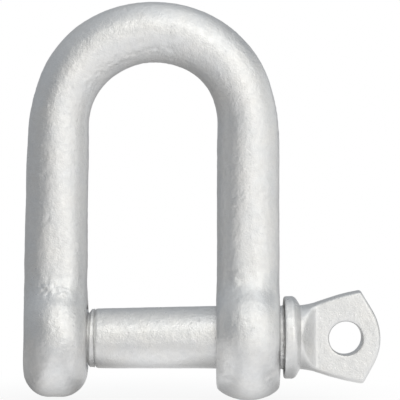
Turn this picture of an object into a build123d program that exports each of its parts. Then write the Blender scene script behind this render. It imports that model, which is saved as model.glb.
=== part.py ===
from build123d import *

import math
import os

# Galvanised D shackle with a screw pin, in millimetres. The origin is on the pin's axis, midway
# between the legs. +X runs along the pin to its tab, and +Z to the crown.

# The bow's bar
bar_d = 12.0  # round bar of the crown and legs
inside_width = 24.9  # clear width between the legs
inside_height = 53.25  # from the pin's axis up to the underside of the crown

# The bow's eyes
eye_thickness = 12.3  # along the pin
tapped_eye_r = 11.4
tapped_rim_round = 5.0  # of the tapped eye's rim and neck
plain_eye_r = 12.1
plain_rim_crown_r = 9.3  # the plain eye's rim is crowned across its thickness
plain_rim_round = 1.5  # between the crowned rim and the eye's flat faces
plain_neck_inset = 0.25  # the plain eye's disc stands this far proud of its neck
flare_r = 7.0  # hollow curve from the leg's sides out to the eye
neck_swell = 0.1  # how much wider than the bar the leg is where the flare starts
plain_neck_round = 5.0  # rounding of the plain eye's neck
neck_length = 2.0  # straight stretch above the flare
blend_length = 12.0  # over which the round bar turns into the neck

# The screw pin
shank_d = 11.8
thread_d = 11.2  # cut undersize, to leave room for the zinc
thread_showing = 1.6  # thread that shows inside the tapped eye's inner face
tip_recess = 0.8  # from the tapped eye's outer face in to the pin's end
tip_chamfer = 1.1
collar_gap = 0.7  # the pin is screwed in to this far short of seated
collar_reach = 2.05  # from the shank's surface out to the collar's rim
collar_rim = 1.5  # flat width of the collar's rim
collar_dome = 1.8  # length of the collar's domed back
collar_edge_round = 0.35

# The tab that turns the pin: the pin's end flared to a trumpet, then forged flat on two sides
neck_r = 6.15
neck_to_ramp = 0.6  # from the collar's back to the forged ramps
ramp_length = 2.1
tab_thickness = 5.5
collar_to_hole = 8.6
hole_d = 6.5
hole_to_corner = 3.15  # along the pin
corner_r = 9.1  # from the pin's axis out to the tab's corners
flank_slope = 10.0  # degrees, of the tab's flanks where they reach the corners
flank_start_pull = 2.5  # how far the flank runs on level from the neck
flank_end_pull = 7.5  # how far the flank runs straight before the corner
end_arc_r = 10.65
end_arc_angle = 30.0  # degrees either side of the pin's axis
hole_to_tip = 6.8
tab_corner_round = 0.6
tab_edge_round = 0.5
ramp_round = 1.0  # soft bend between each ramp and the tab's flat
hole_edge_round = 0.3

# Fits
thread_clearance = 0.05  # radial, between the thread's crests and the tapped hole
plain_hole_clearance = 0.9  # radial, around the shank
mouth_chamfer = 0.4  # on both ends of the bow's two holes

# Sizes and places that follow
neck_width = bar_d + neck_swell
collar_r = shank_d / 2 + collar_reach
leg_x = inside_width / 2 + bar_d / 2
eye_x = inside_width / 2 + eye_thickness / 2
eye_face_x = inside_width / 2 + eye_thickness
crown_z = inside_height - inside_width / 2
plain_neck_r = plain_eye_r - plain_neck_inset

os.makedirs("parts", exist_ok=True)


def neck_top(eye_r):
    """Height where the hollow flare of an eye of this radius ends, plus the straight stretch."""
    return math.sqrt((eye_r + flare_r) ** 2 - (neck_width / 2 + flare_r) ** 2) + neck_length


def eye_with_neck(eye_r, rim_round, centre_x):
    """A round eye, its hollow flares and its neck: an outline across X, with rounded long edges."""
    half = neck_width / 2
    flare_z = neck_top(eye_r) - neck_length
    share = eye_r / (eye_r + flare_r)
    meet_y, meet_z = (half + flare_r) * share, flare_z * share
    with BuildPart() as eye:
        with BuildSketch(Plane.YZ.offset(centre_x - eye_thickness / 2)):
            with BuildLine():
                Line((-half, neck_top(eye_r)), (half, neck_top(eye_r)))
                Line((half, neck_top(eye_r)), (half, flare_z))
                RadiusArc((half, flare_z), (meet_y, meet_z), -flare_r)
                ThreePointArc((meet_y, meet_z), (0, -eye_r), (-meet_y, meet_z))
                RadiusArc((-meet_y, meet_z), (-half, flare_z), -flare_r)
                Line((-half, flare_z), (-half, neck_top(eye_r)))
            make_face()
        extrude(amount=eye_thickness)
        flat_faces = eye.faces().filter_by(Axis.X)
        long_edges = flat_faces.edges().filter_by(
            lambda edge: edge.center().Z < neck_top(eye_r) - neck_length / 4
        )
        fillet(long_edges, rim_round)
    return eye.part


def within_wall(rounding):
    """A rounding of both edges of an eye's rim, limited by the eye's thickness and the neck's width."""
    return min(rounding, 0.45 * eye_thickness, 0.45 * neck_width)


# The bow: one bar bent to a D, with an eye forged at each end
left_eye = (-1, tapped_eye_r, within_wall(tapped_rim_round))
right_eye = (1, plain_neck_r, within_wall(plain_neck_round))

with BuildPart() as bow:
    with BuildLine(Plane.XZ):
        Line((-leg_x, neck_top(tapped_eye_r) + blend_length), (-leg_x, crown_z))
        ThreePointArc((-leg_x, crown_z), (0, crown_z + leg_x), (leg_x, crown_z))
        Line((leg_x, crown_z), (leg_x, neck_top(plain_neck_r) + blend_length))
    with BuildSketch(Plane.XY.offset(neck_top(tapped_eye_r) + blend_length)):
        with Locations((-leg_x, 0)):
            Circle(bar_d / 2)
    sweep()
    for side, eye_r, rounding in (left_eye, right_eye):
        add(eye_with_neck(eye_r, rounding, side * eye_x))
        with BuildSketch(Plane.XY.offset(neck_top(eye_r))):
            with Locations((side * eye_x, 0)):
                RectangleRounded(eye_thickness, neck_width, rounding)
        with BuildSketch(Plane.XY.offset(neck_top(eye_r) + blend_length)):
            with Locations((side * leg_x, 0)):
                Circle(bar_d / 2)
        loft()
    # The plain eye's disc, turned about the pin's axis, with its crowned rim
    with BuildSketch(Plane.XZ) as disc:
        with Locations((eye_x, 0)):
            Rectangle(eye_thickness, 2 * plain_eye_r)
        with Locations((eye_x, plain_eye_r - plain_rim_crown_r)):
            Circle(plain_rim_crown_r, mode=Mode.INTERSECT)
        with Locations((eye_x, -plain_eye_r / 2)):
            Rectangle(eye_thickness, plain_eye_r, mode=Mode.SUBTRACT)
        fillet(disc.vertices().group_by(Axis.Y)[-1], plain_rim_round)
    revolve(axis=Axis.X)
    # The tapped hole on the left and the plain hole on the right
    for side, hole_r in ((-1, thread_d / 2 + thread_clearance), (1, shank_d / 2 + plain_hole_clearance)):
        with Locations(Plane(origin=(side * eye_face_x, 0, 0), z_dir=(side, 0, 0))):
            Hole(hole_r, eye_thickness)
        mouths = bow.edges().filter_by(GeomType.CIRCLE).filter_by(
            lambda edge: abs(edge.radius - hole_r) < mouth_chamfer / 4 and side * edge.center().X > 0
        )
        chamfer(mouths, mouth_chamfer)

bow.part.label = "bow"
export_step(bow.part, "parts/bow.step")

# The screw pin: turned about the pin's axis, then its end forged flat on two sides
tip_x = -eye_face_x + tip_recess
runout_x = -inside_width / 2 + thread_showing
seat_x = eye_face_x + collar_gap
collar_back_x = seat_x + collar_rim + collar_dome
hole_x = collar_back_x + collar_to_hole
corner_x = hole_x + hole_to_corner
end_x = hole_x + hole_to_tip
arc_end_x = end_x - end_arc_r * (1 - math.cos(math.radians(end_arc_angle)))
arc_end_z = end_arc_r * math.sin(math.radians(end_arc_angle))
flank = math.radians(flank_slope)
ramp_end_x = collar_back_x + neck_to_ramp + ramp_length
ramp_rise = (neck_r - tab_thickness / 2) / ramp_length
block = 2 * collar_r  # reaches past the whole pin
block_x = ramp_end_x - (block - tab_thickness / 2) / ramp_rise

with BuildPart() as screw_pin:
    with BuildSketch(Plane.XZ) as turned:
        with BuildLine():
            Polyline(
                (tip_x, 0),
                (tip_x, thread_d / 2 - tip_chamfer),
                (tip_x + tip_chamfer, thread_d / 2),
                (runout_x, thread_d / 2),
                (runout_x, shank_d / 2),
                (seat_x, shank_d / 2),
                (seat_x, collar_r - collar_edge_round),
            )
            RadiusArc(
                (seat_x, collar_r - collar_edge_round),
                (seat_x + collar_edge_round, collar_r),
                collar_edge_round,
            )
            Line((seat_x + collar_edge_round, collar_r), (seat_x + collar_rim, collar_r))
            EllipticalCenterArc((seat_x + collar_rim, neck_r), collar_dome, collar_r - neck_r, 0, arc_size=90)
            Bezier(
                (collar_back_x, neck_r),
                (collar_back_x + flank_start_pull, neck_r),
                (corner_x - flank_end_pull * math.cos(flank), corner_r - flank_end_pull * math.sin(flank)),
                (corner_x, corner_r),
            )
            Line((corner_x, corner_r), (arc_end_x, arc_end_z))
            RadiusArc((arc_end_x, arc_end_z), (end_x, 0), end_arc_r)
            Line((end_x, 0), (tip_x, 0))
        make_face()
        fillet(turned.vertices().sort_by(Axis.Y)[-1], tab_corner_round)
    revolve(axis=Axis.X)
    # What stays between the forging's ramps and flats
    with BuildSketch(Plane.XY) as forged:
        with BuildLine():
            Polyline(
                (tip_x - block, -block),
                (block_x, -block),
                (ramp_end_x, -tab_thickness / 2),
                (end_x + block, -tab_thickness / 2),
                (end_x + block, tab_thickness / 2),
                (ramp_end_x, tab_thickness / 2),
                (block_x, block),
                (tip_x - block, block),
                close=True,
            )
        make_face()
        bends = forged.vertices().filter_by(lambda corner: abs(corner.X - ramp_end_x) < ramp_length / 4)
        fillet(bends, ramp_round)
    extrude(amount=block, both=True, mode=Mode.INTERSECT)
    rims = screw_pin.edges().filter_by(
        lambda edge: edge.center().X > collar_back_x
        and abs(edge.center().Y) > tab_thickness / 2 - tab_edge_round / 4
    )
    fillet(rims, tab_edge_round)
    with Locations(Plane(origin=(hole_x, -tab_thickness / 2, 0), z_dir=(0, -1, 0))):
        Hole(hole_d / 2, tab_thickness)
    hole_edges = screw_pin.edges().filter_by(GeomType.CIRCLE).filter_by(
        lambda edge: abs(edge.radius - hole_d / 2) < hole_edge_round / 4
    )
    fillet(hole_edges, hole_edge_round)

screw_pin.part.label = "screw_pin"
export_step(screw_pin.part, "parts/screw_pin.step")
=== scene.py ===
import math

import bpy
import numpy as np
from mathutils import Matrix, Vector, noise


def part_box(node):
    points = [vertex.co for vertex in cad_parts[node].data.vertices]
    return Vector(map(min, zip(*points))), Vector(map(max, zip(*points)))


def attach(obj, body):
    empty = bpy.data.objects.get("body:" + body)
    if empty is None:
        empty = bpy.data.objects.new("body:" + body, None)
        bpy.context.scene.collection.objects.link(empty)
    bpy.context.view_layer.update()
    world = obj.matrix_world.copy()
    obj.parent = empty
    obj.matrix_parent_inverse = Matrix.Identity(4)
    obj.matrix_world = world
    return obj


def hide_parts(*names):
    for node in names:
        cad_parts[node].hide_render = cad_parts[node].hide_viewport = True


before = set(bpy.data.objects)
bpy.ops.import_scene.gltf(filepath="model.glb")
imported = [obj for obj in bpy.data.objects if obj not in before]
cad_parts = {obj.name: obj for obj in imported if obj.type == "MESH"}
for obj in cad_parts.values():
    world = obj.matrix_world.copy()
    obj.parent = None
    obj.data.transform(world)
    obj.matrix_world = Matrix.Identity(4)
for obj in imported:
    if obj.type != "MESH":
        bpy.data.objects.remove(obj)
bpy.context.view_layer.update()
scene = bpy.context.scene


# Camera. A long lens looks level and square at the face of the shackle, from the height of the
# middle of its legs.
view_distance = 0.410
view_width = 0.0774  # what the lens takes in at the pin
view_middle = (0.0093, 0.02665)  # along the pin, and up from its axis

lens = bpy.data.cameras.new("camera")
lens.sensor_width = 36.0
lens.lens = lens.sensor_width * view_distance / view_width
lens.clip_start = 0.01
camera = bpy.data.objects.new("camera", lens)
camera.location = (view_middle[0], -view_distance, view_middle[1])
camera.rotation_euler = (math.radians(90), 0, 0)
scene.collection.objects.link(camera)
scene.camera = camera


# Bow. A round bar forged to a D, its two ends flattened into eyes that swell past the bar. The
# left eye is tapped for the pin and the right one drilled clear of it. All of it is dipped in zinc.
mm = 1000  # millimetres to the metre
bow_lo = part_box("bow")[0]
bow_grid = 0.00035
bow_easing = 4  # smoothing passes that ease its hard edges
bow_tapped_side, tapped_bore = -0.0120, 0.00567  # the tapped hole stays clear of the pin's crests
neck_from, neck_to, neck_fade = 0.0078, 0.0145, 0.0042  # where the eyes run softly into the legs
neck_passes, neck_fill = 150, 0.00026
hole_reach, hole_calm = 0.0071, 0.9  # inside the holes the forging is this much calmer
# The eyes' faces are rounder than their rims, the left one mostly on its outer side, and both of them
# more so below the pin
face_from, face_to, eyes_top, eyes_fade = 0.0061, 0.0103, 0.0085, 0.003
left_round, left_rim, round_from = 0.0065, 0.0050, -0.02475
right_round, eye_middle, eye_half = 0.0010, 0.0186, 0.00615
low_round, low_from, low_to = 0.0024, 0.0010, -0.0060
crown_lean = 0.00015  # the crown sits this far towards the pin's tab
lean_from, lean_to = 0.015, 0.045
shoulder = (-0.0222, 0.0, 0.0470)  # the left shoulder is a little flat
shoulder_reach, shoulder_flat = 0.0050, 0.00022
# The bar is drawn thinner where it is bent, and its legs are not quite straight. In millimetres: where
# the crown's bend begins, the middle and half width of its bar, and soft hollows in its outside and its
# inside, by how far each is along the bar from the right eye over the crown to the left one, its reach
# and its depth. A negative depth stands proud.
crown_height, leg_middle, bow_half = 40.8, 18.45, 6.0
outer_hollows = (
    (2.0, 18.0, 0.16), (30.0, 9.0, -0.18), (45.0, 4.5, 0.32), (71.0, 9.0, 0.27),
    (93.5, 9.5, 0.53), (127.0, 9.0, 0.15), (139.0, 5.5, 0.38),
)
inner_hollows = (
    (17.5, 7.5, 0.17), (54.5, 9.5, 0.51), (79.0, 6.0, -0.12), (102.0, 8.0, -0.12), (128.5, 3.0, 0.14),
)
# Waviness of the forging, and lumps of the zinc: length and height of each
bow_waves = ((0.0110, 0.000040), (0.0045, 0.000028), (0.0020, 0.000028), (0.0010, 0.000026))
bow_seed = Vector((3.1, 7.7, 1.9))
# Streaks drawn out along the bar: length, width and height of each
bow_streaks = ((0.0060, 0.0011, 0.000018), (0.0035, 0.0007, 0.000018))
# Where scale left the near face rough, in millimetres: x, z, half length, half width, turn in
# degrees, and how rough
rough_waves = ((0.0021, 0.000045), (0.0012, 0.000095), (0.0007, 0.000175))
rough_patches = (
    (-17.4, 10.2, 3.6, 1.3, -6, 1.0), (-20.8, 9.4, 1.8, 1.6, 0, 0.8), (-13.4, 20.0, 0.9, 11.0, 0, 0.35),
    (-6.0, 53.6, 3.6, 1.0, 24, 0.8), (-10.7, 50.2, 2.8, 1.0, 48, 0.8), (1.4, 55.4, 2.8, 0.8, 2, 1.0),
    (15.6, 12.4, 2.0, 4.5, 12, 0.45), (-22.2, -7.6, 1.6, 1.4, 30, 0.7), (-18.0, -4.0, 3.0, 5.0, 0, 0.35),
    (22.4, -7.0, 1.4, 1.2, 0, 0.5), (-17.0, 3.0, 2.4, 4.0, 0, 0.25), (-20.6, 26.0, 1.5, 9.0, 0, 0.3),
)
rough_elsewhere, rough_spread = 0.45, 0.0070
# Hammer and scale marks on the near face, in millimetres: x, z, half length, half width, turn in
# degrees, and depth. A negative depth is a lump.
near_marks = (
    (-17.6, 11.9, 2.6, 0.55, 4, 0.085), (-15.6, 10.4, 1.6, 0.40, -20, 0.070),
    (-19.6, 9.3, 1.4, 0.50, 12, -0.060), (-16.8, 9.0, 0.7, 0.45, 60, -0.070),
    (-18.9, 12.9, 0.8, 0.35, 50, -0.060), (-14.6, 12.4, 0.9, 0.35, -10, -0.050),
    (-20.6, 11.0, 0.6, 0.40, 0, 0.060), (-17.4, 7.0, 1.0, 0.70, 75, -0.055),
    (-22.5, -0.4, 0.9, 0.30, 62, 0.110), (-22.9, -7.2, 1.3, 0.32, 55, 0.110),
    (-21.4, -8.2, 0.6, 0.40, 0, 0.100), (-15.0, -6.6, 1.6, 0.45, 20, -0.045),
    (-18.3, -5.2, 1.2, 0.60, 35, -0.050), (-19.6, -3.0, 0.6, 0.35, 70, 0.045),
    (22.3, -7.2, 0.90, 0.85, 0, 0.420), (22.3, -7.2, 0.48, 0.45, 0, -0.480),
    (23.3, -6.1, 0.45, 0.40, 0, 0.220), (19.2, -8.6, 0.9, 0.32, 86, 0.240),
    (14.4, -7.3, 0.6, 0.45, 0, 0.200), (18.9, 4.0, 0.55, 0.45, 70, -0.055),
    (-2.5, 56.8, 0.6, 0.28, 10, 0.060), (1.5, 55.4, 2.4, 0.40, 3, 0.055),
    (-0.4, 54.8, 0.9, 0.40, 0, -0.045), (4.0, 55.2, 0.7, 0.30, -8, 0.050),
    (-6.6, 53.6, 1.2, 0.45, 28, 0.045), (-9.4, 51.6, 1.3, 0.40, 40, 0.050),
    (-12.0, 48.8, 1.0, 0.40, 52, 0.045), (-14.2, 45.4, 0.6, 0.30, 62, 0.045),
    (-17.6, 47.2, 0.35, 0.25, 0, 0.050), (-15.0, 52.0, 0.4, 0.28, 0, -0.045),
    (13.5, 52.4, 0.8, 0.40, -40, 0.040), (19.6, 36.5, 0.5, 0.30, 30, 0.040),
    (21.8, 29.8, 0.4, 0.25, 0, -0.040), (-20.4, 33.2, 0.5, 0.22, 0, 0.045),
    (-16.0, 27.5, 0.5, 0.30, 80, -0.035), (-18.9, 20.6, 0.9, 0.35, 88, 0.035),
    (15.4, 14.2, 0.7, 0.45, 40, -0.040), (17.2, 11.4, 0.6, 0.35, 20, 0.040),
    (14.2, 10.2, 0.5, 0.40, 0, -0.035), (19.0, 16.4, 0.45, 0.35, 0, 0.035),
)
mark_left = 0.8  # the share of each mark's depth that the zinc leaves open
# Small marks scattered over the bow, outside its holes, and the least and most of their reach and depth
bow_dents, bow_dent_seed = 90, 5
dent_reach, dent_depth = (0.0003, 0.0010), (-0.00003, 0.00004)
# The finish: how much rougher its specks are, and how far specks and dust stand up beside the grain
speck_rough, speck_lift, dust_lift = 0.18, 0.30, 0.25

# The thread, twelve by one and three quarters, right-handed
thread_pitch = 0.00175
thread_steps = 40  # to a turn
tap_section = ((-0.00075, 0.0054), (0.00075, 0.0054), (0.00011, 0.00651), (-0.00011, 0.00651))
tap_from, tap_to = bow_lo.x - 0.0006, -0.0118  # from outside the tapped eye to inside the bow
crisp = math.radians(38)  # edges sharper than this stay crisp


def fine_copy(part, name, grid, passes):
    """An even, fine copy of a part, with its hard edges eased."""
    piece = bpy.data.objects.new(name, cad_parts[part].data.copy())
    piece.data.materials.clear()
    scene.collection.objects.link(piece)
    even = piece.modifiers.new("even", "REMESH")
    even.mode = "VOXEL"
    even.voxel_size = grid
    even.use_smooth_shade = True
    ease = piece.modifiers.new("ease", "SMOOTH")
    ease.factor = 0.5
    ease.iterations = passes
    return piece


def settle(piece):
    """Apply a piece's modifiers."""
    bpy.context.view_layer.update()
    shaped = piece.evaluated_get(bpy.context.evaluated_depsgraph_get())
    mesh = bpy.data.meshes.new_from_object(shaped)
    piece.modifiers.clear()
    piece.data = mesh


def points_of(piece):
    """A mesh's points and their normals."""
    count = len(piece.data.vertices)
    points, normals = np.empty(count * 3), np.empty(count * 3)
    piece.data.vertices.foreach_get("co", points)
    piece.data.vertices.foreach_get("normal", normals)
    return points.reshape(-1, 3), normals.reshape(-1, 3)


def place(piece, points):
    """Move a mesh's points to new places."""
    piece.data.vertices.foreach_set("co", points.ravel())
    piece.data.update()


def smooth_step(value):
    """Nought below nought, one above one, and a soft rise between."""
    value = np.clip(value, 0, 1)
    return value * value * (3 - 2 * value)


def soften(piece, weights, passes):
    """Run a smoothing pass many times over part of a piece."""
    some = piece.vertex_groups.new(name="soft")
    for index in np.nonzero(weights > 0.01)[0]:
        some.add([int(index)], float(weights[index]), "REPLACE")
    ease = piece.modifiers.new("soften", "SMOOTH")
    ease.factor = 0.5
    ease.iterations = passes
    ease.vertex_group = some.name
    settle(piece)
    piece.vertex_groups.clear()


def waves(points, lengths, seed):
    """Height of the forging's waviness and the zinc's lumps at each point."""
    height = np.zeros(len(points))
    for length, rise in lengths:
        spots = points / length
        height += rise * np.array([noise.noise(seed + Vector(spot)) for spot in spots])
    return height


def near_face(normals):
    """How far each point looks to the front."""
    return smooth_step(-normals[:, 1] * 3)


def across_mark(points, x, z, long, wide, turn):
    """Places along and across a mark on the near face, in its half lengths and half widths."""
    turn = math.radians(turn)
    across = points[:, [0, 2]] * mm - np.array((x, z))
    along = (across[:, 0] * math.cos(turn) + across[:, 1] * math.sin(turn)) / long
    aside = (across[:, 1] * math.cos(turn) - across[:, 0] * math.sin(turn)) / wide
    return along, aside


def rough_height(points, normals, patches, seed):
    """Height of the rough places: the near face's own patches, and others spread about the rest."""
    patchy = np.array([noise.noise(seed * 2 + Vector(spot)) for spot in points / rough_spread])
    amount = rough_elsewhere * smooth_step(patchy * 2.5 - 0.2) * smooth_step(normals[:, 1] * 2 + 1)
    for x, z, long, wide, turn, rough in patches:
        along, aside = across_mark(points, x, z, long, wide, turn)
        amount += rough * near_face(normals) * np.exp(-along ** 2 - aside ** 2)
    return amount * waves(points, rough_waves, seed)


def dent(points, normals, at, reach, depth):
    """Sink a round mark into the surface about a place on it."""
    apart = ((points - at) ** 2).sum(1) / reach ** 2
    points -= normals * (depth * np.exp(-apart))[:, None]


def hollowed(along_bar, hollows):
    """How deep the soft hollows are at each place along the bar."""
    deep = np.zeros(len(along_bar))
    for at, reach, depth in hollows:
        deep += depth * np.exp(-((along_bar - at) / reach) ** 2)
    return deep


def near_mark(points, normals, mark):
    """Sink a long mark into the near face."""
    x, z, long, wide, turn, depth = mark
    along, aside = across_mark(points, x, z, long, wide, turn)
    sunk = near_face(normals) * depth * mark_left / mm * np.exp(-along ** 2 - aside ** 2)
    points -= normals * sunk[:, None]


def edge_round(inward, size):
    """How far a rounded edge of this size falls short of a square one."""
    return size - np.sqrt(size ** 2 - np.clip(size - inward, 0, size) ** 2)


def scattered(points, normals, count, seed, keep):
    """Small dents and lumps spread over the surface where it may have them."""
    rng = np.random.default_rng(seed)
    for centre in rng.choice(len(points), count, replace=False):
        reach, depth = rng.uniform(*dent_reach), rng.uniform(*dent_depth)
        if keep[centre]:
            dent(points, normals, points[centre].copy(), reach, depth)


def band(last, here, sides):
    """The faces between one ring of corners and the next."""
    after = [(side + 1) % sides for side in range(sides)]
    return [(last + side, last + after[side], here + after[side], here + side) for side in range(sides)]


def cutter_of(name, corners, faces):
    """A cutter from its corners and faces."""
    mesh = bpy.data.meshes.new(name)
    mesh.from_pydata(corners, [], faces)
    mesh.validate()
    return bpy.data.objects.new(name, mesh)


def swept_cutter(name, start, end, turn_length, section, lift=0.0):
    """A cutter of one section, x and radius, swept about the pin's axis along a right-hand helix.
    Over its last half turn it is lifted clear, as a die leaves a thread."""
    count = int((end - start) / turn_length * thread_steps) + 1
    sides = len(section)
    corners, faces = [], []
    for step in range(count):
        angle = 2 * math.pi * step / thread_steps
        rise = lift * max(0.0, 1 - (count - 1 - step) / (thread_steps / 2))
        for x, radius in section:
            corners.append((start + x + turn_length * step / thread_steps,
                            (radius + rise) * math.cos(angle), (radius + rise) * math.sin(angle)))
        if step:
            faces += band((step - 1) * sides, step * sides, sides)
    faces.append(tuple(range(sides))[::-1])
    faces.append(tuple((count - 1) * sides + side for side in range(sides)))
    return cutter_of(name, corners, faces)


def ring_cutter(name, at, lean, section):
    """A closed ring of one section, x and radius, about the pin's axis, leaning along it."""
    count = 2 * thread_steps
    sides = len(section)
    corners, faces = [], []
    for step in range(count):
        angle = 2 * math.pi * step / count
        for x, radius in section:
            corners.append((at + x + lean * radius * math.sin(angle),
                            radius * math.cos(angle), radius * math.sin(angle)))
        faces += band(step * sides, (step + 1) % count * sides, sides)
    return cutter_of(name, corners, faces)


def cut(piece, cutter):
    """Cut a piece with another and drop the cutter."""
    scene.collection.objects.link(cutter)
    knife = piece.modifiers.new("cut", "BOOLEAN")
    knife.operation = "DIFFERENCE"
    knife.solver = "EXACT"
    knife.object = cutter
    settle(piece)
    bpy.data.objects.remove(cutter)


def node(tree, kind, **inputs):
    """Add a node, and set or link its inputs. An input without a name of its own goes by its place."""
    made = tree.nodes.new("ShaderNode" + kind)
    for name, value in inputs.items():
        if name in ("operation", "interpolation_type", "data_type"):
            setattr(made, name, value)
            continue
        socket = made.inputs[int(name[1:]) if name[0] == "_" else name.replace("_", " ")]
        if isinstance(value, bpy.types.NodeSocket):
            tree.links.new(value, socket)
        else:
            socket.default_value = value
    return made


def reckon(tree, operation, *values):
    """Work out a number from others."""
    places = {f"_{place}": value for place, value in enumerate(values)}
    return node(tree, "Math", operation=operation, **places).outputs[0]


def length_of(tree, arrow):
    """How long an arrow is."""
    return node(tree, "VectorMath", operation="LENGTH", _0=arrow).outputs["Value"]


def towards(tree, arrow, way):
    """How far an arrow points some way."""
    return node(tree, "VectorMath", operation="DOT_PRODUCT", _0=arrow, _1=way).outputs["Value"]


def ramp(tree, value, start, end, first, last, soft=True):
    """Go from the first amount to the last as a value goes from start to end."""
    bend = "SMOOTHSTEP" if soft else "LINEAR"
    return node(tree, "MapRange", interpolation_type=bend, Value=value, From_Min=start, From_Max=end,
                To_Min=first, To_Max=last).outputs["Result"]


def zinc_finish(name, cool, warm, smooth, dull, grain, seed):
    """Hot-dip zinc: cool and warm patches, duller crystals, and a fine grain that catches light."""
    zinc = bpy.data.materials.new(name)
    zinc.use_nodes = True
    tree = zinc.node_tree
    metal = tree.nodes["Principled BSDF"]
    metal.inputs["Metallic"].default_value = 1.0
    where = node(tree, "VectorMath", operation="ADD", _0=node(tree, "TexCoord").outputs["Object"],
                 _1=(seed, -seed, seed / 2)).outputs[0]
    patches = node(tree, "TexNoise", Vector=where, Scale=190.0, Detail=6.0, Roughness=0.68).outputs["Fac"]
    crystals = node(tree, "TexNoise", Vector=where, Scale=900.0, Detail=5.0, Roughness=0.70).outputs["Fac"]
    dust = node(tree, "TexNoise", Vector=where, Scale=3600.0, Detail=2.0, Roughness=0.5).outputs["Fac"]
    cells = node(tree, "TexVoronoi", Vector=where, Scale=620.0).outputs

    tint = ramp(tree, patches, 0.35, 0.65, 0.0, 1.0, soft=False)
    hue = node(tree, "Mix", data_type="RGBA", _0=tint, _6=(*cool, 1), _7=(*warm, 1)).outputs[2]
    shade = ramp(tree, crystals, 0.3, 0.7, 0.955, 1.045, soft=False)
    colour = node(tree, "VectorMath", operation="SCALE", _0=hue, Scale=shade).outputs[0]
    tree.links.new(colour, metal.inputs["Base Color"])

    matt = ramp(tree, crystals, 0.3, 0.7, dull, smooth, soft=False)
    speck = ramp(tree, cells["Distance"], 0.02, 0.24, 1.0, 0.0)
    picked = ramp(tree, node(tree, "SeparateXYZ", Vector=cells["Color"]).outputs["X"],
                  0.35, 0.75, -0.7, 1.0, soft=False)
    specks = reckon(tree, "MULTIPLY", speck, picked)
    tree.links.new(reckon(tree, "MULTIPLY_ADD", specks, speck_rough, matt), metal.inputs["Roughness"])

    lumps = node(tree, "Bump", Strength=1.0, Distance=grain, Height=crystals)
    raised = node(tree, "Bump", Strength=1.0, Distance=grain * speck_lift, Height=specks,
                  Normal=lumps.outputs["Normal"])
    fine = node(tree, "Bump", Strength=1.0, Distance=grain * dust_lift, Height=dust,
                Normal=raised.outputs["Normal"])
    tree.links.new(fine.outputs["Normal"], metal.inputs["Normal"])
    return zinc


bow = fine_copy("bow", "bow_forging", bow_grid, bow_easing)
settle(bow)
points, normals = points_of(bow)
neck = smooth_step((points[:, 2] - neck_from) / neck_fade + 1)
neck *= smooth_step((neck_to - points[:, 2]) / neck_fade + 1)
neck *= smooth_step(np.abs(normals[:, 1]) * 2.5)
soften(bow, neck, neck_passes)
points, normals = points_of(bow)
points += normals * (neck * neck_fill * normals[:, 1] ** 2)[:, None]

# Round the eyes' faces
from_axis = np.hypot(points[:, 1], points[:, 2])
in_hole = from_axis < hole_reach
on_face = smooth_step((from_axis - face_from) / (face_to - face_from)) * (points[:, 1] / from_axis) ** 2
on_face *= smooth_step((eyes_top - points[:, 2]) / eyes_fade + 1)
from_side = np.clip(points[:, 0] - round_from, 0, None)
across = np.clip(np.abs(np.abs(points[:, 0]) - eye_middle) / eye_half, 0, 1)
left_fall = edge_round(from_side, left_round) - edge_round(from_side, left_rim)
fall = np.where(points[:, 0] > 0, right_round * across ** 4, left_fall)
fall += low_round * across ** 2.5 * smooth_step((points[:, 2] - low_from) / (low_to - low_from))
points[:, 1] -= np.sign(points[:, 1]) * on_face * np.clip(fall, 0, None)

# Lean the crown, and mark the bar as forging and dipping leave it
points[:, 0] += crown_lean * smooth_step((points[:, 2] - lean_from) / (lean_to - lean_from))
dent(points, normals, np.array(shoulder), shoulder_reach, shoulder_flat)
x, over_legs = points[:, 0] * mm, points[:, 2] * mm - crown_height
angle = np.arctan2(np.clip(over_legs, 0, None), x)
along_bar = crown_height + leg_middle * angle + np.where(x > 0, 1, -1) * np.clip(over_legs, None, 0)
outward = (np.hypot(x, np.clip(over_legs, 0, None)) - leg_middle) / bow_half
height = waves(points, bow_waves, bow_seed) + rough_height(points, normals, rough_patches, bow_seed)
for long, wide, rise in bow_streaks:
    drawn = np.column_stack((along_bar / mm / long, outward * bow_half / mm / wide, points[:, 1] / wide))
    height += waves(drawn, ((1.0, rise),), bow_seed)
points += normals * ((1 - in_hole * hole_calm) * height)[:, None]
for mark in near_marks:
    near_mark(points, normals, mark)
scattered(points, normals, bow_dents, bow_dent_seed, ~in_hole)

# Draw the bar thinner, and keep the tapped hole open for the pin
drawn_in = np.where(outward > 0, -hollowed(along_bar, outer_hollows), hollowed(along_bar, inner_hollows))
drawn_in *= np.clip(np.abs(outward), 0, 1) / mm
points[:, 0] += drawn_in * np.cos(angle)
points[:, 2] += drawn_in * np.sin(angle)
bored = np.hypot(points[:, 1], points[:, 2])
too_tight = (points[:, 0] < bow_tapped_side) & (bored < tapped_bore)
points[:, 1:] *= np.where(too_tight, tapped_bore / bored, 1.0)[:, None]
place(bow, points)
cut(bow, swept_cutter("tap", tap_from, tap_to, thread_pitch, tap_section))
bow.data.set_sharp_from_angle(angle=crisp)
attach(bow, "shackle_bow")
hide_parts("bow")
bow.data.materials.append(zinc_finish(
    "bow_zinc_skin", cool=(0.722, 0.729, 0.736), warm=(0.756, 0.751, 0.742),
    smooth=0.30, dull=0.48, grain=0.00012, seed=0.3))


# Screw pin. Turned with a thread, a relief behind it, a plain shank and a collar. Its end is
# flared to a trumpet and forged flat to a tab with a hole. Dipped like the bow, and a little smoother.
pin_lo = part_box("screw_pin")[0]
pin_grid = 0.00021
pin_easing = 2
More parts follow.
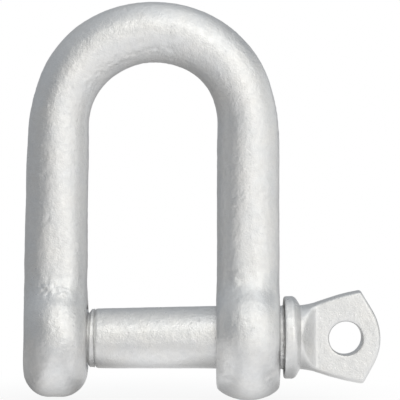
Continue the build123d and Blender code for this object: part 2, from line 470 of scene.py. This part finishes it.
# Along the pin, in millimetres: how far its axis has bent up, its shank's radius and where that ends,
# and where the tip is calm and the dents begin
bend_at = (-12.3, -10.0, 0.0, 11.0, 26.0, 36.0)
bend_up = (0.0, -0.11, -0.01, 0.10, 0.08, 0.20)
shank_at = (-10.85, -10.40, -9.30, 11.0, 25.0)
shank_radius = (5.62, 5.75, 5.80, 6.03, 6.12)
drawn_radius, shank_end, shank_within = 5.9, 25.3, 6.4
tip_end, tip_calm = -12.6, 0.15  # the tip has this share of the rest's unevenness
dents_from = -10.0
# The collar's back, in millimetres: a low slope, then a steep cone down to the ramps. Each angle is
# about the centre of its round, from the neck up to the rim.
round_at = (26.95, 6.15)
round_angle = (0, 40, 50, 70, 90)
back_x, back_radius = (28.62, 27.95, 27.78, 27.40, 26.95), (6.15, 7.28, 7.52, 7.84, 7.98)
neck_at, neck_moved = (28.75, 29.35, 31.45), (28.62, 28.74, 31.55)
# The tab's corners lean, the upper one towards the collar. Its hole stays on the pin's own axis.
hole_x, hole_from, hole_to = 0.03735, 0.0040, 0.0068
tab_skew, skew_from, skew_to, tab_from = 0.028, 0.033, 0.040, 0.030
pin_waves = ((0.0090, 0.000040), (0.0036, 0.000024), (0.0016, 0.000016), (0.0009, 0.000013))
pin_seed = Vector((8.2, 0.4, 5.6))
pin_dents, pin_dent_seed = 70, 11
# The thread, the relief behind it and the notch that parts it from the shank
thread_from, thread_end, thread_lift = pin_lo.x - 0.0009, -0.0131, 0.0012
thread_section = ((-0.00087, 0.00585), (-0.00011, 0.00453), (0.00011, 0.00453), (0.00087, 0.00585))
relief_at, relief_lean = -0.01230, 0.042
relief_section = ((-0.00062, 0.00575), (-0.00005, 0.00485), (0.00005, 0.00485), (0.00062, 0.00575))
notch_at = -0.01092
notch_section = ((-0.00022, 0.00600), (-0.00003, 0.00535), (0.00003, 0.00535), (0.00022, 0.00600))

pin = fine_copy("screw_pin", "pin_forging", pin_grid, pin_easing)
settle(pin)
points, normals = points_of(pin)
along, radius = points[:, 0] * mm, np.hypot(points[:, 1], points[:, 2]) * mm
on_shank = (along > shank_at[0]) & (along < shank_end) & (radius < shank_within)
taper = np.interp(along, shank_at, shank_radius) / drawn_radius
points[:, 1:] *= np.where(on_shank, taper, 1.0)[:, None]

# The collar's back and the neck behind it
above = radius - round_at[1]
turned = np.degrees(np.arctan2(above, along - round_at[0]))
on_back = (along > round_at[0]) & (above > 0) & (along < neck_at[1])
on_neck = (along > neck_at[0]) & (along < neck_at[2]) & ~on_back
points[:, 0] = np.where(on_back, np.interp(turned, round_angle, back_x) / mm, points[:, 0])
points[:, 0] = np.where(on_neck, np.interp(along, neck_at, neck_moved) / mm, points[:, 0])
fuller = np.interp(turned, round_angle, back_radius) / radius
points[:, 1:] *= np.where(on_back, fuller, 1.0)[:, None]

# Its unevenness, the lean of its tab and the bend of its axis
calm = np.where(along < tip_end, tip_calm, 1.0)
points += normals * (calm * waves(points, pin_waves, pin_seed))[:, None]
scattered(points, normals, pin_dents, pin_dent_seed, along > dents_from)
from_hole = np.hypot(points[:, 0] - hole_x, points[:, 2])
off_hole = smooth_step((from_hole - hole_from) / (hole_to - hole_from))
off_hole = np.where(points[:, 0] > tab_from, off_hole, 1.0)
lean = tab_skew * points[:, 2] * smooth_step((points[:, 0] - skew_from) / (skew_to - skew_from))
points[:, 0] -= off_hole * lean
points[:, 2] += off_hole * np.interp(along, bend_at, bend_up) / mm
place(pin, points)
cut(pin, swept_cutter("die", thread_from, thread_end, thread_pitch, thread_section, thread_lift))
cut(pin, ring_cutter("relief", relief_at, relief_lean, relief_section))
cut(pin, ring_cutter("notch", notch_at, 0.0, notch_section))
pin.data.set_sharp_from_angle(angle=crisp)
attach(pin, "pin")
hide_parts("screw_pin")
pin.data.materials.append(zinc_finish(
    "pin_zinc_skin", cool=(0.728, 0.733, 0.737), warm=(0.765, 0.760, 0.748),
    smooth=0.25, dull=0.42, grain=0.00012, seed=0.7))


# Floor. A plain pale sheet under the eyes. The lens sees it white, apart from the shackle's own soft
# shadow. The metal sees a painted reflection on it instead: pale in front and dimmer towards the back and
# left.
paper_white = (0.92, 0.92, 0.92, 1)
floor_reach, floor_gap = 3.0, 0.0001
shadow_near, shadow_far, shadow_depth = 0.02, 0.07, 0.12  # over this distance the shadow fades out
painted_sheen_way = (0.75, -0.66, 0.0)  # towards the pale side of the painted reflection
painted_sheen_from, painted_sheen_to = -0.068, 0.062
painted_sheen_dim, painted_sheen_pale = 0.35, 1.0
painted_shade_from, painted_shade_to, painted_shade_ahead, painted_shade_under = 0.026, 0.042, 0.19, 0.45  # painted shade in the floor's reflection, dimmer around and under the shackle
front_from, front_to = 0.003, -0.011  # where the painted shade under the shackle gives way to the lighter one ahead of it
painted_highlight_spots = (  # painted highlights in the floor's reflection, pale again before each eye, and under and behind the pin: place, reach, strength
    (-0.0188, -0.0145, 0.0070, 0.0115, 0.48), (0.0205, -0.0150, 0.0058, 0.0105, 0.46),
    (0.0, -0.0095, 0.0090, 0.0090, 0.60), (0.0, 0.0120, 0.0110, 0.0130, 0.26),
    (0.0, 0.0280, 0.0150, 0.0200, 0.30))
spot_from, spot_to = 0.4, 1.6  # the shares of its reach over which a painted highlight spot fades out

floor_mesh = bpy.data.meshes.new("floor")
floor_corners = [(x * floor_reach, y * floor_reach, 0) for x, y in ((-1, -1), (1, -1), (1, 1), (-1, 1))]
floor_mesh.from_pydata(floor_corners, [], [(0, 1, 2, 3)])
floor = bpy.data.objects.new("floor", floor_mesh)
floor.location = (0.0, 0.0, bow_lo.z - floor_gap)
scene.collection.objects.link(floor)

paper = bpy.data.materials.new("pale_paper_painted_reflection")
paper.use_nodes = True
paper.cycles.emission_sampling = "NONE"
tree = paper.node_tree
tree.nodes.clear()
place_on = node(tree, "TexCoord").outputs["Object"]
ray = node(tree, "LightPath").outputs
from_middle = length_of(tree, place_on)
shadow = ramp(tree, from_middle, shadow_near, shadow_far, 1 - shadow_depth, 1.0)
# The painted reflection the metal sees: a gradient from dim to pale along its way
painted_sheen = ramp(tree, towards(tree, place_on, painted_sheen_way), painted_sheen_from, painted_sheen_to, painted_sheen_dim, painted_sheen_pale)
ahead = ramp(tree, node(tree, "SeparateXYZ", Vector=place_on).outputs["Y"], front_to, front_from, 1.0, 0.0)
near = ramp(tree, from_middle, painted_shade_from, painted_shade_to, 1.0, 0.0)
# Painted shade around and under the shackle, deeper under it than ahead of it
painted_shade = ramp(tree, ahead, 0.0, 1.0, -painted_shade_under, -painted_shade_ahead, soft=False)
painted_glow = reckon(tree, "MULTIPLY", painted_sheen, reckon(tree, "MULTIPLY_ADD", near, painted_shade, 1.0))
# Painted highlights in the floor's reflection, before each eye and under and behind the pin
for x, y, reach_x, reach_y, brighter in painted_highlight_spots:
    from_spot = node(tree, "VectorMath", operation="MULTIPLY_ADD", _0=place_on,
                     _1=(1 / reach_x, 1 / reach_y, 0.0), _2=(-x / reach_x, -y / reach_y, 0.0)).outputs[0]
    spot = ramp(tree, length_of(tree, from_spot), spot_from, spot_to, brighter, 0.0)
    painted_glow = reckon(tree, "ADD", painted_glow, spot)
painted_glow.node.use_clamp = True
# The lens sees white with a little of the lit sheet near the shackle, so its own shadow shows; glossy and
# transmission rays see only the painted glow; other rays see the lit sheet
lens_sees = reckon(tree, "MULTIPLY", ray["Is Camera Ray"], shadow)
metal_sees = reckon(tree, "MAXIMUM", ray["Is Glossy Ray"], ray["Is Transmission Ray"])
sheet = node(tree, "BsdfDiffuse", Color=paper_white).outputs["BSDF"]
white = node(tree, "Emission", Color=(1.0, 1.0, 1.0, 1),
             Strength=reckon(tree, "MAXIMUM", ray["Is Camera Ray"], painted_glow)).outputs["Emission"]
shown = node(tree, "MixShader", _0=reckon(tree, "MAXIMUM", lens_sees, metal_sees), _1=sheet, _2=white)
node(tree, "OutputMaterial", Surface=shown.outputs["Shader"])
floor_mesh.materials.append(paper)


# Lamps. Soft boxes in front, above and to the right: name, degrees to the right of the camera,
# degrees up, width, height, watts.
lamp_aim = Vector((0.008, 0.0, 0.026))
lamp_distance = 0.7
lamp_hue = (1.0, 0.987, 0.945)
soft_boxes = (
    ("key_high", 18, 50, 0.5, 0.4, 0.530), ("key_middle", 18, 24, 0.4, 0.3, 0.092),
    ("left_high", -15, 38, 0.4, 0.3, 0.320), ("overhead", 90, 80, 0.5, 0.5, 0.408),
    ("right_high", 60, 42, 0.5, 0.4, 0.203), ("right_behind", 120, 16, 0.5, 0.3, 0.314),
)
for name, round_right, up, width, height, watts in soft_boxes:
    box = bpy.data.lights.new(name, "AREA")
    box.shape = "RECTANGLE"
    box.size, box.size_y = width, height
    box.energy = watts
    box.color = lamp_hue
    lamp = bpy.data.objects.new(name, box)
    turn, rise = math.radians(round_right), math.radians(up)
    way = Vector((math.sin(turn) * math.cos(rise), -math.cos(turn) * math.cos(rise), math.sin(rise)))
    lamp.location = lamp_aim + way * lamp_distance
    lamp.rotation_euler = way.to_track_quat("Z", "Y").to_euler()
    lamp.visible_camera = False
    scene.collection.objects.link(lamp)


# Room. White all round for the lens. The metal sees pale walls, palest in front and front right, each
# as a soft patch about a direction: the direction, how tight, how bright and of what white.
cool_white, warm_white = (0.920, 0.958, 1.0), (1.0, 0.987, 0.948)
walls = (
    ((-1.0, 0.0, 0.0), 2, 0.45, cool_white), ((1.0, 0.0, 0.0), 2, 0.23, cool_white),
    ((0.0, 0.0, 1.0), 2, 0.62, cool_white), ((0.0, 1.0, 0.0), 2, 0.42, cool_white),
    ((0.8, -0.6, 0.0), 4, 1.10, warm_white), ((0.15, -0.98, 0.0), 6, 1.20, warm_white),
)
world = bpy.data.worlds.new("studio")
scene.world = world
world.use_nodes = True
tree = world.node_tree
tree.nodes.clear()
look = node(tree, "TexCoord").outputs["Generated"]
glow = (0.0, 0.0, 0.0)
for way, tight, bright, hue in walls:
    patch = reckon(tree, "POWER", reckon(tree, "MAXIMUM", towards(tree, look, way), 0.0), tight)
    light = tuple(bright * share for share in hue)
    glow = node(tree, "VectorMath", operation="MULTIPLY_ADD", _0=patch, _1=light, _2=glow).outputs[0]
room = node(tree, "Background", Color=glow).outputs["Background"]
backdrop = node(tree, "Background", Color=(1, 1, 1, 1)).outputs["Background"]
shown = node(tree, "MixShader", _0=node(tree, "LightPath").outputs["Is Camera Ray"], _1=room, _2=backdrop)
node(tree, "OutputWorld", Surface=shown.outputs["Shader"])

scene.view_settings.view_transform = "Standard"
